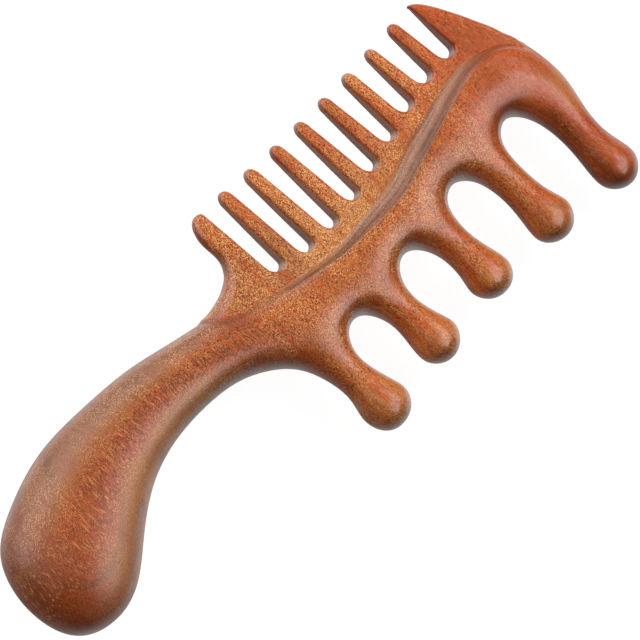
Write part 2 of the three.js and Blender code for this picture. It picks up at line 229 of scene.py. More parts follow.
class Field:
    """Values on an even grid, read back smoothly, with their slopes."""

    def __init__(self, x0, y0, step, values):
        self.x0, self.y0, self.step, self.v = x0, y0, step, np.ascontiguousarray(values, float)

    def __call__(self, x, y):
        nx, ny = self.v.shape
        u, v = (x - self.x0) / self.step, (y - self.y0) / self.step
        i = np.clip(np.floor(u).astype(int), 1, nx - 3)
        j = np.clip(np.floor(v).astype(int), 1, ny - 3)
        u, v = np.clip(u - i, 0, 1), np.clip(v - j, 0, 1)

        def weights(t):
            w = ((1 - t) ** 3 / 6, (3 * t**3 - 6 * t**2 + 4) / 6, (-3 * t**3 + 3 * t**2 + 3 * t + 1) / 6, t**3 / 6)
            d = (-((1 - t) ** 2) / 2, (3 * t * t - 4 * t) / 2, (-3 * t * t + 2 * t + 1) / 2, t * t / 2)
            return w, d

        wu, du = weights(u)
        wv, dv = weights(v)
        flat, base = self.v.ravel(), (i - 1) * ny + j - 1
        f = fx = fy = 0
        for a in range(4):
            row = rowd = 0
            for b in range(4):
                g = flat[base + a * ny + b]
                row = row + wv[b] * g
                rowd = rowd + dv[b] * g
            f = f + wu[a] * row
            fx = fx + du[a] * row
            fy = fy + wu[a] * rowd
        return f, fx / self.step, fy / self.step


def signed_distance(poly, x0, y0, nx, ny, step, reach):
    """Distance to a closed outline on a grid, positive inside, held at reach."""
    best = np.full((nx, ny), reach * reach)
    gx, gy = x0 + step * np.arange(nx), y0 + step * np.arange(ny)
    ends = np.roll(poly, -1, axis=0)
    turns = np.zeros((nx + 1, ny), int)
    for (px, py), (qx, qy) in zip(poly, ends):
        i0 = max(0, int((min(px, qx) - reach - x0) / step))
        i1 = min(nx, int((max(px, qx) + reach - x0) / step) + 2)
        j0 = max(0, int((min(py, qy) - reach - y0) / step))
        j1 = min(ny, int((max(py, qy) + reach - y0) / step) + 2)
        ex, ey = qx - px, qy - py
        length = ex * ex + ey * ey
        if length < 1e-12:
            continue
        wx, wy = gx[i0:i1, None] - px, gy[None, j0:j1] - py
        t = np.clip((wx * ex + wy * ey) / length, 0, 1)
        d = (wx - t * ex) ** 2 + (wy - t * ey) ** 2
        np.minimum(best[i0:i1, j0:j1], d, out=best[i0:i1, j0:j1])
        rows = np.nonzero((gy > min(py, qy)) & (gy <= max(py, qy)))[0]
        if len(rows):
            cross = px + (gy[rows] - py) / ey * ex
            turns[np.clip(np.ceil((cross - x0) / step).astype(int), 0, nx), rows] += 1
    inside = np.cumsum(turns, axis=0)[:nx] % 2 == 1
    return np.where(inside, 1, -1) * np.sqrt(best)


def inflate(dist, load, step, start):
    """The soap-film height squared over a flat outline: its curvature is -load, 0 on the edge."""
    inside = dist > 0
    diag = np.zeros_like(dist)
    for axis in (0, 1):
        for way in (1, -1):
            near = np.roll(dist, -way, axis=axis)
            share = np.clip(dist / np.where(inside, np.maximum(dist - near, 1e-6), 1), 0.05, 1)
            diag += np.where(near > 0, 1.0, 1.0 / share)
    diag = np.where(inside, diag, 1)

    def apply(u):
        s = np.zeros_like(u)
        s[1:] += u[:-1]
        s[:-1] += u[1:]
        s[:, 1:] += u[:, :-1]
        s[:, :-1] += u[:, 1:]
        return np.where(inside, diag * u - s, 0)

    b = np.where(inside, load * step * step, 0)
    u = np.where(inside, start, 0.0)
    r = b - apply(u)
    z = r / diag
    p, rz = z.copy(), float((r * z).sum())
    goal = 1e-7 * math.sqrt(float((b * b).sum()))
    for _ in range(3000):
        ap = apply(p)
        alpha = rz / float((p * ap).sum())
        u += alpha * p
        r -= alpha * ap
        if math.sqrt(float((r * r).sum())) < goal:
            break
        z = r / diag
        rz, last = float((r * z).sum()), rz
        p = z + rz / last * p
    return u


foot_line, cove_line, half_line, arch_line = Line(FOOT), Line(COVE), Line(HALF), Line(ARCHES)


def foot_at(x):
    """The foot line and its slope, turned up steeply past both ends so that it leaves the comb."""
    y, d = foot_line(x)
    lo, hi = FOOT[0], FOOT[-1]
    y = np.where(x < lo[0], lo[1] + 2.0 * (lo[0] - x), np.where(x > hi[0], hi[1] + 4.0 * (x - hi[0]), y))
    d = np.where(x < lo[0], -2.0, np.where(x > hi[0], 4.0, d))
    return y, d


# ------------------------------------------------------------------ the carved form


def body_fields():
    step, x0, y0 = 0.4, -99.0, -40.0
    nx, ny = int(198 / step), int(80 / step)
    gx, gy = np.meshgrid(x0 + step * np.arange(nx), y0 + step * np.arange(ny), indexing="ij")
    outline = closed_spline(EDGE[5:98] + BURIED_EDGE)
    dist = signed_distance(outline, x0, y0, nx, ny, step, 7.0)
    arch = np.where(gx < -14, -60.0, arch_line(gx)[0])
    finger = smoothstep(2.0, -8.0, gy - arch) * smoothstep(-14.0, -4.0, gx)
    ball = sum(np.exp(-((((gx - bx) ** 2 + (gy - by) ** 2) / 6.6**2) ** 2)) for bx, by in BALLS)
    load_finger = 2.0 + 1.7 * ball
    goal = half_line(x0 + step * np.arange(nx))[0]
    spine = np.full(nx, 1.4)
    height = np.zeros((nx, ny))
    for _ in range(7):
        load = spine[:, None] * (1 - finger) + load_finger * finger
        height = inflate(dist, load, step, height)
        ridge = np.sqrt(np.maximum(np.where(gy > arch, height, 0).max(1), 1e-6))
        fix = np.clip((goal / np.maximum(ridge, 4.0)) ** 2, 0.6, 1.6)
        first, last = int((-75 - x0) / step), int((85 - x0) / step)
        fix[:first], fix[last:] = fix[first], fix[last]
        k = np.exp(-0.5 * (np.arange(-40, 41) * step / 5.0) ** 2)
        fix = np.convolve(np.pad(fix, 40, mode="edge"), k / k.sum(), mode="valid")
        spine = np.clip(spine * fix, 0.4, 3.0)
    swell = 2 * np.tanh(dist / 2)
    known = dist > 0.3 * step
    ratio = np.where(known, height / np.where(known, swell, 1), 0.0)
    for _ in range(14):
        total, count = np.zeros_like(ratio), np.zeros_like(ratio)
        for a in (-1, 0, 1):
            for b in (-1, 0, 1):
                total += np.roll(np.roll(ratio * known, a, 0), b, 1)
                count += np.roll(np.roll(known.astype(float), a, 0), b, 1)
        grow = ~known & (count > 0)
        ratio[grow] = total[grow] / count[grow]
        known |= grow
    ratio[~known] = 5.0
    return Field(x0, y0, step, dist), Field(x0, y0, step, ratio)


def plate_field():
    step, x0, y0 = 0.2, -24.0, -4.0
    nx, ny = int(124 / step), int(44 / step)
    return Field(x0, y0, step, signed_distance(plate_outline(), x0, y0, nx, ny, step, 5.0))


body_distance, body_ratio = body_fields()
plate_distance = plate_field()
gap_floor = Line([(-20, 14), (0, 13)] + [((g[1] + g[2]) / 2, g[0]) for g in GAPS] + [(90, 18), (100, 16)])


def crest_rise():
    """How far the shoulder's crest stands above the plate's cheek, along X."""
    x = np.arange(-13, 94, 1.5)
    y = foot_line(x)[0] - cove_line(x)[0]
    h = inflated(x, y)[0]
    rise = np.clip(np.sqrt(np.maximum(h, 0.1)) - PLATE_HALF, 0.8, None)
    return Line(np.stack([x, rise], 1))


def inflated(x, y):
    d, dx, dy = body_distance(x, y)
    r, rx, ry = body_ratio(x, y)
    t = np.tanh(d / 2)
    f, fd = 2 * t, 1 - t * t
    return f * r, fd * dx * r + f * rx, fd * dy * r + f * ry


rise_line = crest_rise()


def plan(x, y):
    """Everything that depends on X and Y only."""
    h, hx, hy = inflated(x, y)
    floor, floor_x = gap_floor(x)
    lo = floor - 1.0
    t = np.clip((y - lo) / (35.5 - lo), 0, 1)
    f, fd = t * t * (1.6 - 0.6 * t), (3.2 * t - 1.8 * t * t) / (35.5 - lo)
    thick = PLATE_HALF - (PLATE_HALF - TIP_HALF) * f
    thick_y = -(PLATE_HALF - TIP_HALF) * fd * ((t > 0) & (t < 1))
    foot, foot_x = foot_at(x)
    w, rise = np.maximum(cove_line(np.clip(x, -13, 94))[0], 0.6), rise_line(np.clip(x, -13, 93))[0]
    # The cove runs out over the plate's cheek before it climbs.
    out = 2.1 * smoothstep(14.0, 32.0, x) * smoothstep(86.0, 68.0, x)
    power, w = 1.7 + 0.3 * out, w + out
    u = (foot + out - y) / w
    up = np.maximum(u, 0)
    down = np.maximum(-u, 0) * w
    # Beyond the foot the body ends soon, but runs on along the edge at the hook.
    t = np.clip((x - 88.0) / 4.0, 0, 1)
    ends, ends_x = 2.5 - 1.9 * t * t * (3 - 2 * t), -1.9 * 6 * t * (1 - t) / 4.0
    cut = thick + rise * up**power - ends * down**2
    k = rise * power * up ** (power - 1) / w + 2 * ends * down
    cut_x, cut_y = k * foot_x - ends_x * down**2, thick_y - k
    crest = 0.25 + 0.35 * smoothstep(10.0, -4.0, x) + 0.85 * smoothstep(58.0, 82.0, x)
    d, dx, dy = plate_distance(x, y)
    edge = 1.25 + 3.1 * np.maximum(smoothstep(5.5, -4.0, x), smoothstep(90.5, 94.5, x) * smoothstep(15.0, 8.0, y))
    edge = np.minimum(edge, thick - 0.05)
    weld = 0.9 * smoothstep(6.0, -9.0, x) * np.clip(d / 3.0, 0, 1)
    weld = weld + 0.8 * smoothstep(86.0, 91.0, x) * np.clip(1 - d / 2.5, 0, 1)
    return dict(h=h, hx=hx, hy=hy, t=thick, ty=thick_y, c=cut, cx=cut_x, cy=cut_y, d=d, dx=dx, dy=dy, r=edge, w=weld, s=crest, u=u)


def solid(p, z, slopes=True):
    """Depth inside the comb, about in millimetres, and its slopes."""
    a, s = np.abs(z), np.where(z < 0, -1.0, 1.0)
    n = np.sqrt(p["hx"] ** 2 + p["hy"] ** 2 + 4 * a * a + 1e-6)
    m = np.sqrt(1 + p["cx"] ** 2 + p["cy"] ** 2)
    f1, f2 = (p["h"] - a * a) / n, (p["c"] - a) / m
    soft = p["s"]
    k = np.clip(0.5 + 0.5 * (f2 - f1) / soft, 0, 1)
    fb = f2 * (1 - k) + f1 * k - soft * k * (1 - k)
    qx, qz = p["r"] - p["d"], a - (p["t"] - p["r"])
    ox, oz = np.maximum(qx, 0), np.maximum(qz, 0)
    out = np.sqrt(ox * ox + oz * oz)
    fp = p["r"] - out - np.minimum(np.maximum(qx, qz), 0)
    weld = np.maximum(p["w"], 1e-4)
    b = np.clip(0.5 + 0.5 * (fb - fp) / weld, 0, 1)
    f = fp * (1 - b) + fb * b + weld * b * (1 - b)
    if not slopes:
        return f
    g1 = np.stack([p["hx"] / n, p["hy"] / n, -2 * a * s / n], -1)
    g2 = np.stack([p["cx"] / m, p["cy"] / m, -s / m], -1)
    gb = g2 * (1 - k)[..., None] + g1 * k[..., None]
    both = np.maximum(out, 1e-9)
    wx = np.where(out > 0, ox / both, (qx > qz) * 1.0)
    wz = np.where(out > 0, oz / both, (qx <= qz) * 1.0)
    gp = np.stack([wx * p["dx"], wx * p["dy"] + wz * p["ty"], -wz * s], -1)
    return f, gp * (1 - b)[..., None] + gb * b[..., None]


def carve():
    """Quads over the whole surface, and their vertices."""
    lo, hi = np.array([-97.0, -38.0]), np.array([97.0, 38.0])
    nx, ny = (np.ceil((hi - lo) / CELL).astype(int) + 1).tolist()
    nz = 2 * int(math.ceil(14.0 / CELL))
    gx, gy = lo[0] + CELL * np.arange(nx), lo[1] + CELL * np.arange(ny)
    gz = (np.arange(nz) - (nz - 1) / 2) * CELL
    mx, my = np.meshgrid(gx, gy, indexing="ij")
    p = plan(mx, my)
    f = np.empty((nx, ny, nz), np.float32)
    for k in range(nz // 2, nz):
        f[:, :, k] = solid(p, np.full_like(mx, gz[k]), False)
        f[:, :, nz - 1 - k] = f[:, :, k]
    sign = f > 0
    corner = [(a, b, c) for a in (0, 1) for b in (0, 1) for c in (0, 1)]
    count = sum(sign[a : nx - 1 + a, b : ny - 1 + b, c : nz - 1 + c].astype(np.int8) for a, b, c in corner)
    ci, cj, ck = np.nonzero((count > 0) & (count < 8))
    at = {c: f[ci + c[0], cj + c[1], ck + c[2]].astype(float) for c in corner}
    total, hits = np.zeros((len(ci), 3)), np.zeros(len(ci))
    for c in corner:
        for axis in range(3):
            if c[axis]:
                continue
            e = tuple(c[i] + (i == axis) for i in range(3))
            va, vb = at[c], at[e]
            cross = (va > 0) != (vb > 0)
            t = np.where(cross, va / np.where(cross, va - vb, 1), 0)
            for i in range(3):
                total[:, i] += cross * (c[i] + (t if i == axis else 0))
            hits += cross
    v = total / hits[:, None] + np.stack([ci, cj, ck], 1)
    v = v * CELL + np.array([gx[0], gy[0], gz[0]])
    index = np.full((nx - 1, ny - 1, nz - 1), -1, np.int64)
    index[ci, cj, ck] = np.arange(len(ci))
    quads = []
    for axis in range(3):
        o1, o2 = (axis + 1) % 3, (axis + 2) % 3
        n = [nx, ny, nz]
        take = [slice(0, n[i] - 1) if i == axis else slice(1, n[i] - 1) for i in range(3)]
        move = list(take)
        move[axis] = slice(1, n[axis])
        a, b = sign[tuple(take)], sign[tuple(move)]
        e = np.stack(np.nonzero(a != b), 1)
        up = a[tuple(e.T)]
        e = e + np.array([0 if i == axis else 1 for i in range(3)])
        ring = []
        for s1, s2 in ((-1, -1), (0, -1), (0, 0), (-1, 0)):
            q = e.copy()
            q[:, o1] += s1
            q[:, o2] += s2
            ring.append(index[tuple(q.T)])
        ring = np.stack(ring, 1)
        ring[~up] = ring[~up][:, ::-1]
        quads.append(ring)
    return v, np.concatenate(quads)


def settle(v, rounds=3):
    """Moves points onto the surface. Returns them with the outward normals there."""
    for _ in range(rounds):
        f, g = solid(plan(v[:, 0], v[:, 1]), v[:, 2])
        step = f / np.maximum((g * g).sum(1), 0.05)
        v = v - np.clip(step, -0.3, 0.3)[:, None] * g
    g = solid(plan(v[:, 0], v[:, 1]), v[:, 2])[1]
    return v, -g / np.maximum(np.linalg.norm(g, axis=1), 1e-9)[:, None]


def relax(v, quads, n, amount=0.5):
    """Evens the quads out along the surface."""
    e = np.concatenate([quads[:, [a, (a + 1) % 4]] for a in range(4)])
    total, count = np.zeros_like(v), np.zeros(len(v))
    for a, b in ((0, 1), (1, 0)):
        for k in range(3):
            total[:, k] += np.bincount(e[:, a], v[e[:, b], k], len(v))
        count += np.bincount(e[:, a], minlength=len(v))
    move = total / np.maximum(count, 1)[:, None] - v
    move -= (move * n).sum(1)[:, None] * n
    return v + amount * move


verts, quads = carve()
verts, normals = settle(verts)
for _ in range(4):
    verts = relax(verts, quads, normals)
    verts, normals = settle(verts, 2)


# ------------------------------------------------------------------ parting along the shoulder


def side(v):
    return v[:, 1] - foot_at(v[:, 0])[0]


def part(v, n, faces):
    """Cuts the surface along the foot line. Returns points, normals and the two lists of faces."""
    s = side(v)
    near = np.abs(s) < 0.12 * CELL
    for _ in range(4):
        x = v[near]
        y, d = foot_at(x[:, 0])
        g = np.stack([-d, np.ones(len(x)), np.zeros(len(x))], 1)
        x = x - ((x[:, 1] - y) / (g * g).sum(1))[:, None] * g
        x, m = settle(x, 1)
        v[near], n[near] = x, m
    mark = np.where(near, 0, np.where(s > 0, 1, -1))
    points, norms = list(v), list(n)
    made = {}

    def between(a, b):
        key = (min(a, b), max(a, b))
        if key not in made:
            t = s[a] / (s[a] - s[b])
            x = (v[a] * (1 - t) + v[b] * t)[None]
            for _ in range(6):
                y, d = foot_at(x[:, 0])
                g = np.stack([-d, np.ones(1), np.zeros(1)], 1)
                x = x - ((x[:, 1] - y) / (g * g).sum(1))[:, None] * g
                x, m = settle(x, 1)
            made[key] = len(points)
            points.append(x[0])
            norms.append(m[0])
        return made[key]

    lower, upper, rim = [], [], []
    kind = mark[faces]
    whole_low, whole_up = (kind <= 0).all(1), (kind >= 0).all(1)
    for q, ks in zip(faces.tolist(), kind.tolist()):
        lo_has, up_has = -1 in ks, 1 in ks
        if not up_has:
            lower.append(q)
        elif not lo_has:
            upper.append(q)
        else:
            lo, up = [], []
            for i in range(4):
                a, b, ka, kb = q[i], q[(i + 1) % 4], ks[i], ks[(i + 1) % 4]
                if ka <= 0:
                    lo.append(a)
                if ka >= 0:
                    up.append(a)
                if ka * kb < 0:
                    m = between(a, b)
                    lo.append(m)
                    up.append(m)
            for group, out in ((lo, lower), (up, upper)):
                if len(group) >= 3:
                    out.append(group)
    return np.array(points), np.array(norms), lower, upper


verts, normals, low_faces, up_faces = part(verts, normals, quads)


def shoulder(v):
    """How much each point belongs to the shoulder's cove, and to the crest above it."""
    p, a = plan(v[:, 0], v[:, 1]), np.abs(v[:, 2])
    n = np.sqrt(p["hx"] ** 2 + p["hy"] ** 2 + 4 * a * a + 1e-6)
    m = np.sqrt(1 + p["cx"] ** 2 + p["cy"] ** 2)
    apart = (p["c"] - a) / m - (p["h"] - a * a) / n
    reach = smoothstep(-4.0, 14.0, v[:, 0])
    cove = smoothstep(0.15, -0.15, apart) * smoothstep(0.05, 0.65, p["u"]) * reach
    return cove, np.exp(-((apart / 0.30) ** 2)) * (p["u"] > 0.5) * reach * smoothstep(82.0, 74.0, v[:, 0])


cove_share, crest_share = shoulder(verts)

# Brings the form to the middle of the part's box, and just inside it.
low, high = verts.min(0), verts.max(0)
MIDDLE = np.array([(low[0] + high[0]) / 2, (low[1] + high[1]) / 2, 0.0])
FIT = min((min(-a, b) / MM - 0.02) / c for a, b, c in zip(CAD_BOX[0], CAD_BOX[1], (high - low) / 2))


def rim_of(faces):
    """The open edge of a set of faces, as one ordered loop."""
    edges = {}
    for f in faces:
        for a, b in zip(f, f[1:] + f[:1]):
            edges[(a, b)] = True
    follow = {}
    for a, b in edges:
        if (b, a) not in edges:
            follow.setdefault(a, []).append(b)
    loops, seen = [], set()
    for start in follow:
        if start in seen:
            continue
        loop, at = [], start
        while at not in seen:
            seen.add(at)
            loop.append(at)
            at = follow[at][0]
        loops.append(loop)
    loops.sort(key=len, reverse=True)
    return loops[0]


TONGUE_HALF, TONGUE_DEEP = 2.0, 6.0
foot_x = np.linspace(FOOT[0][0], FOOT[-1][0], 1500)
foot_y = foot_line(foot_x)[0]
foot_s = np.concatenate([[0], np.cumsum(np.hypot(np.diff(foot_x), np.diff(foot_y)))])


def joint_walls(faces, grow):
    """Closes a piece along the shoulder with the joint's walls: a tongue on the plate, its groove in the body.
    Returns the new points and the new faces, whose numbers go on from the surface's points."""
    rim = rim_of(faces)[::-1]
    v = verts[rim]
    s = np.interp(v[:, 0], foot_x, foot_s)
    s = np.where(v[:, 0] < foot_x[0], v[:, 0] - foot_x[0], s)
    s = np.where(v[:, 0] > foot_x[-1], foot_s[-1] + v[:, 0] - foot_x[-1], s)
    outer = np.stack([s, v[:, 2]], 1)
    s0, s1, half, deep = 6.0 - grow, foot_s[-1] - 6.0 + grow, TONGUE_HALF + grow, TONGUE_DEEP + grow
    run = np.linspace(s0, s1, 91)
    inner = np.array([(a, half) for a in run] + [(a, -half) for a in run[::-1]])

    def turning(p):
        q = np.roll(p, -1, axis=0)
        return float((p[:, 0] * q[:, 1] - p[:, 1] * q[:, 0]).sum())

    if turning(outer) * turning(inner) < 0:
        inner = inner[::-1]
    rim, outer = rim + rim[:1], np.concatenate([outer, outer[:1]])
    inner = np.roll(inner, -int(np.argmin(((inner - outer[0]) ** 2).sum(1))), axis=0)
    fx, fy = np.interp(inner[:, 0], foot_s, foot_x), np.interp(inner[:, 0], foot_s, foot_y)
    slope = foot_line(fx)[1]
    n = np.stack([slope, -np.ones_like(slope)], 1) / np.hypot(slope, 1)[:, None]
    ramp = np.minimum(1, np.minimum(inner[:, 0] - s0 + 0.8, s1 + 0.8 - inner[:, 0]) / 7.0)[:, None]
    mouth = np.stack([fx, fy, inner[:, 1]], 1)
    ends = np.concatenate([mouth[:, :2] + deep * ramp * n, inner[:, 1:] * 0.97], 1)
    base, count = len(verts), len(inner)
    ring = [base + i for i in range(count)] + [base]
    inner = np.concatenate([inner, inner[:1]])
    wall, i, j = [], 0, 0
    while i < len(rim) - 1 or j < count:
        if j == count or (i < len(rim) - 1 and np.hypot(*(outer[i + 1] - inner[j])) <= np.hypot(*(outer[i] - inner[j + 1]))):
            wall.append([rim[i], rim[i + 1], ring[j]])
            i += 1
        else:
            wall.append([rim[i], ring[j + 1], ring[j]])
            j += 1
    for j in range(count):
        a, b = base + j, base + (j + 1) % count
        wall.append([a, b, b + count, a + count])
    # The tongue's far face, between its two long edges.
    top = [k for k in range(count) if inner[k, 1] > 0]
    low = [k for k in range(count) if inner[k, 1] < 0]
    top.sort(key=lambda k: inner[k, 0])
    low.sort(key=lambda k: inner[k, 0])
    forward = (top[0] + 1) % count == top[1]
    for k in range(len(run) - 1):
        f = [top[k], top[k + 1], low[k + 1], low[k]]
        f = f if forward else f[::-1]
        wall.append([base + count + m for m in f])
    return np.concatenate([mouth, ends]), wall


def make_piece(name, faces, grow):
    new, walls = joint_walls(faces, grow)
    points = np.concatenate([verts, new])
    used = sorted({i for f in faces + walls for i in f})
    number = {old: i for i, old in enumerate(used)}
    mesh = bpy.data.meshes.new(name)
    mesh.from_pydata(((points[used] - MIDDLE) * FIT * MM).tolist(), [], [[number[i] for i in f] for f in faces + walls])
    mesh.polygons.foreach_set("use_smooth", [True] * len(faces) + [False] * len(walls))
    mesh.update()
    corner = []
    for f in faces:
        corner.extend(normals[i] for i in f)
    for polygon in mesh.polygons[len(faces) :]:
        corner.extend([np.array(polygon.normal)] * polygon.loop_total)
    mesh.normals_split_custom_set([tuple(map(float, c)) for c in corner])
    for label, share in (("cove", cove_share), ("crest", crest_share)):
        values = np.concatenate([share, np.zeros(len(new))])[used]
        mesh.attributes.new(label, "FLOAT", "POINT").data.foreach_set("value", values.astype(np.float32))
    piece = bpy.data.objects.new(name, mesh)
    bpy.context.scene.collection.objects.link(piece)
    return piece


comb_body = make_piece("comb_body", low_faces, 0.15)
comb_plate = make_piece("comb_tooth_plate", up_faces, 0.0)

# ------------------------------------------------------------------ wood

DEEP, WARM, EMBER = (0.46, 0.067, 0.010, 1), (0.63, 0.112, 0.017, 1), (0.66, 0.090, 0.010, 1)
PLUM, DUSK, HONEY = (0.15, 0.036, 0.016, 1), (0.20, 0.034, 0.006, 1), (0.70, 0.152, 0.026, 1)
GOLD, AMBER, PORE = (0.87, 0.46, 0.155, 1), (0.72, 0.31, 0.085, 1), (0.08, 0.013, 0.003, 1)
UMBER, REFLECTION_GREY = (0.10, 0.019, 0.004, 1), (0.24, 0.090, 0.045, 1)
HIGHLIGHT_STRAW, HIGHLIGHT_TAN, SOOT = (0.60, 0.26, 0.085, 1), (0.40, 0.15, 0.045, 1), (0.09, 0.026, 0.016, 1)


def wood(name, end_grain_and_shade, wall, pale):
    """Reddish hardwood. The grain runs along Y, the growth layers lie flat, one above another in Z."""
    mat = bpy.data.materials.new(name)
    mat.use_nodes = True
    tree = mat.node_tree
    tree.nodes.clear()

    def add(kind, *links, **settings):
        n = tree.nodes.new("ShaderNode" + kind)
        for key, value in settings.items():
            setattr(n, key, value)
        for socket, value in links:
            target = n.inputs[socket]
            if isinstance(value, bpy.types.NodeSocket):
                tree.links.new(value, target)
            else:
                target.default_value = value
        return n

    def stretched(x, y, z, source):
        return add("Mapping", (0, source), (3, (x, y, z))).outputs[0]

    def noise(vector, scale, detail, rough=0.5):
        n = add("TexNoise", ("Vector", vector), ("Scale", scale), ("Detail", detail), ("Roughness", rough))
        return n.outputs[0]

    def cells(vector, jitter=1.0):
        return add("TexVoronoi", ("Vector", vector), ("Scale", 1.0), ("Randomness", jitter))

    def band(value, a, b, c=0.0, d=1.0):
        n = add("MapRange", (0, value), (1, a), (2, b), (3, c), (4, d), interpolation_type="SMOOTHSTEP")
        return n.outputs[0]

    def times(a, b):
        return add("Math", (0, a), (1, b), operation="MULTIPLY").outputs[0]

    def mix(factor, a, b):
        n = add("Mix", (0, factor), (6, a), (7, b), data_type="RGBA")
        return n.outputs[2]

    coords = add("TexCoord")
    here = stretched(1000, 1000, 1000, coords.outputs["Object"])
    # Slow bends, so that no layer and no fibre is quite straight.
    bend = add("TexNoise", ("Vector", here), ("Scale", 0.035), ("Detail", 2.0)).outputs[1]
    bend = add("VectorMath", (0, bend), (1, (0.5, 0.5, 0.5)), operation="SUBTRACT").outputs[0]
    bend = add("VectorMath", (0, bend), (1, (5.0, 5.0, 4.0)), operation="MULTIPLY").outputs[0]
    bent = add("VectorMath", (0, here), (1, bend), operation="ADD").outputs[0]

    tone = noise(stretched(0.050, 0.022, 0.09, bent), 1.0, 3.0)
    deeper = add("VectorMath", (0, bent), (1, (60.0, 0.0, 23.0)), operation="ADD").outputs[0]
    layer = noise(stretched(0.030, 0.012, 0.55, deeper), 1.0, 3.0, 0.6)
    fibre = noise(stretched(2.6, 0.32, 2.6, bent), 1.0, 3.0, 0.6)
    hair = noise(stretched(4.0, 2.4, 4.0, bent), 1.0, 2.0, 0.65)
    pores = noise(stretched(3.8, 1.3, 3.8, deeper), 1.0, 2.0, 0.6)
    streak = noise(stretched(0.55, 0.035, 0.55, bent), 1.0, 3.0, 0.55)
    dense = noise(stretched(0.10, 0.045, 0.12, bent), 1.0, 3.0)

    place = add("SeparateXYZ", (0, here))
    along, across = place.outputs[0], place.outputs[1]
    level = add("Math", (0, place.outputs[2]), operation="ABSOLUTE").outputs[0]
    facing = add("SeparateXYZ", (0, coords.outputs["Normal"]))

    colour = mix(band(tone, 0.28 - pale, 0.72 - pale), DEEP, WARM)
    colour = mix(times(band(along, -25.0, 8.0), band(along, 78.0, 50.0, 0.0, 0.45)), colour, HONEY)
    colour = mix(times(band(along, 2.0, -22.0, 0.0, 0.95), band(along, -76.0, -60.0, 0.7, 1.0)), colour, DEEP)
    # Painted highlight: the ends of the fingers are paler, with a straw tint on all but the last finger.
    colour = mix(band(across, -19.0, -26.0, 0.0, 0.9), colour, HONEY)
    colour = mix(times(band(across, -20.0, -26.0, 0.0, 0.25), band(along, 84.0, 74.0)), colour, HIGHLIGHT_STRAW)
    colour = mix(times(band(along, 70.0, 84.0, 0.0, 0.95), band(across, -4.0, -14.0)), colour, DEEP)
    if pale:
        # Painted sheen: the plate's cheek next to the shoulder is paler, less so towards the hook.
        near = times(band(across, 24.0, 9.0, 0.0, 0.5), band(along, 66.0, 36.0))
        colour = mix(near, colour, HIGHLIGHT_STRAW)
        colour = mix(band(along, 16.0, 4.0, 0.0, 0.35), colour, DEEP)
    ember = band(streak, 0.50, 0.66)
    colour = mix(times(ember, band(along, -40.0, -10.0, 0.3, 0.7)), colour, EMBER)
    colour = mix(times(band(layer, 0.54, 0.64, 0.0, 0.75), band(along, 5.0, -35.0, 0.30, 1.0)), colour, PLUM)
    colour = mix(band(fibre, 0.32, 0.66, 0.48 - 2 * pale, 0.0), colour, DUSK)
    pits = band(pores, 0.41, 0.47, 0.82, 0.0) if pale else band(pores, 0.415, 0.475, 0.88, 0.0)
    pits = times(times(pits, band(across, -19.0, -25.0, 1.0, 0.4)), band(along, -60.0, -30.0, 0.7, 1.0))
    colour = mix(times(pits, band(along, 62.0, 84.0, 1.0, 0.6)), colour, PORE)
    # Faces turned across the grain are darker, partly the wood's own darker end grain and partly painted shade. The
    # handle's flanks get a painted sheen and painted shade, and faces turned to -X get painted shade.
    lean = add("Math", (0, facing.outputs[1]), operation="ABSOLUTE").outputs[0]
    grip = times(band(along, -12.0, -32.0), band(along, -86.0, -68.0))
    # Painted sheen: the handle's flanks are paler and greyer, most of all on the side turned to -Y.
    colour = mix(times(grip, band(lean, 0.15, 0.40, 0.0, 0.42)), colour, HIGHLIGHT_TAN)
    colour = mix(times(grip, band(facing.outputs[1], -0.20, -0.45, 0.0, 0.33)), colour, HIGHLIGHT_STRAW)
    colour = mix(times(grip, band(facing.outputs[1], 0.20, 0.45, 0.0, 0.12)), colour, HIGHLIGHT_STRAW)
    figure = times(band(fibre, 0.42, 0.51, 0.75, 0.0), band(lean, 0.34, 0.10))
    colour = mix(times(times(figure, band(along, 6.0, -8.0)), band(along, -76.0, -56.0, 0.1, 1.0)), colour, UMBER)
    # Darker across the grain: partly real end grain, partly painted shade.
    ends = times(band(lean, 0.24, 0.85, 0.0, end_grain_and_shade), band(along, -45.0, -20.0, 0.45, 1.0))
    colour = mix(ends, colour, UMBER)
    # Painted shade on the handle's faces turned to +Y.
    ends = times(band(facing.outputs[1], -0.05, 0.85, 0.0, 0.40), band(along, -20.0, -42.0))
    colour = mix(ends, colour, UMBER)
    # Painted shade on faces turned to -X, the tooth walls most and the handle more.
    colour = mix(band(facing.outputs[0], -0.45, -0.90, 0.0, wall), colour, UMBER)
    colour = mix(times(band(facing.outputs[0], -0.48, -0.74, 0.0, 0.4), band(along, -50.0, -70.0)), colour, UMBER)
    # Dark patches along the handle's sides.
    blotch = times(times(grip, band(lean, 0.42, 0.72)), band(noise(stretched(0.085, 0.03, 0.16, deeper), 1.0, 2.0), 0.47, 0.56))
    colour = mix(times(blotch, 0.65), colour, PLUM)
    # Painted shade: the fingers are darker on their handle side, most of all at the head, and at the roots between
    # them. A painted highlight makes the head's outer edge paler.
    slope = times(band(across, -3.0, -8.0), band(facing.outputs[0], -0.15, -0.50))
    colour = mix(times(slope, band(along, 56.0, 84.0, 0.1, 0.5)), colour, UMBER)
    root = times(times(band(along, 4.0, 14.0), band(across, 5.0, 2.0)), band(facing.outputs[0], 0.15, -0.25))
    root = times(root, band(facing.outputs[1], -0.32, -0.58))
    colour = mix(times(root, 0.30), colour, UMBER)
    edge = times(times(band(along, 85.0, 89.0), band(across, -17.0, -8.0)), band(across, 3.0, -3.0))
    colour = mix(times(edge, band(facing.outputs[0], 0.18, 0.42, 0.0, 0.35)), colour, HIGHLIGHT_STRAW)
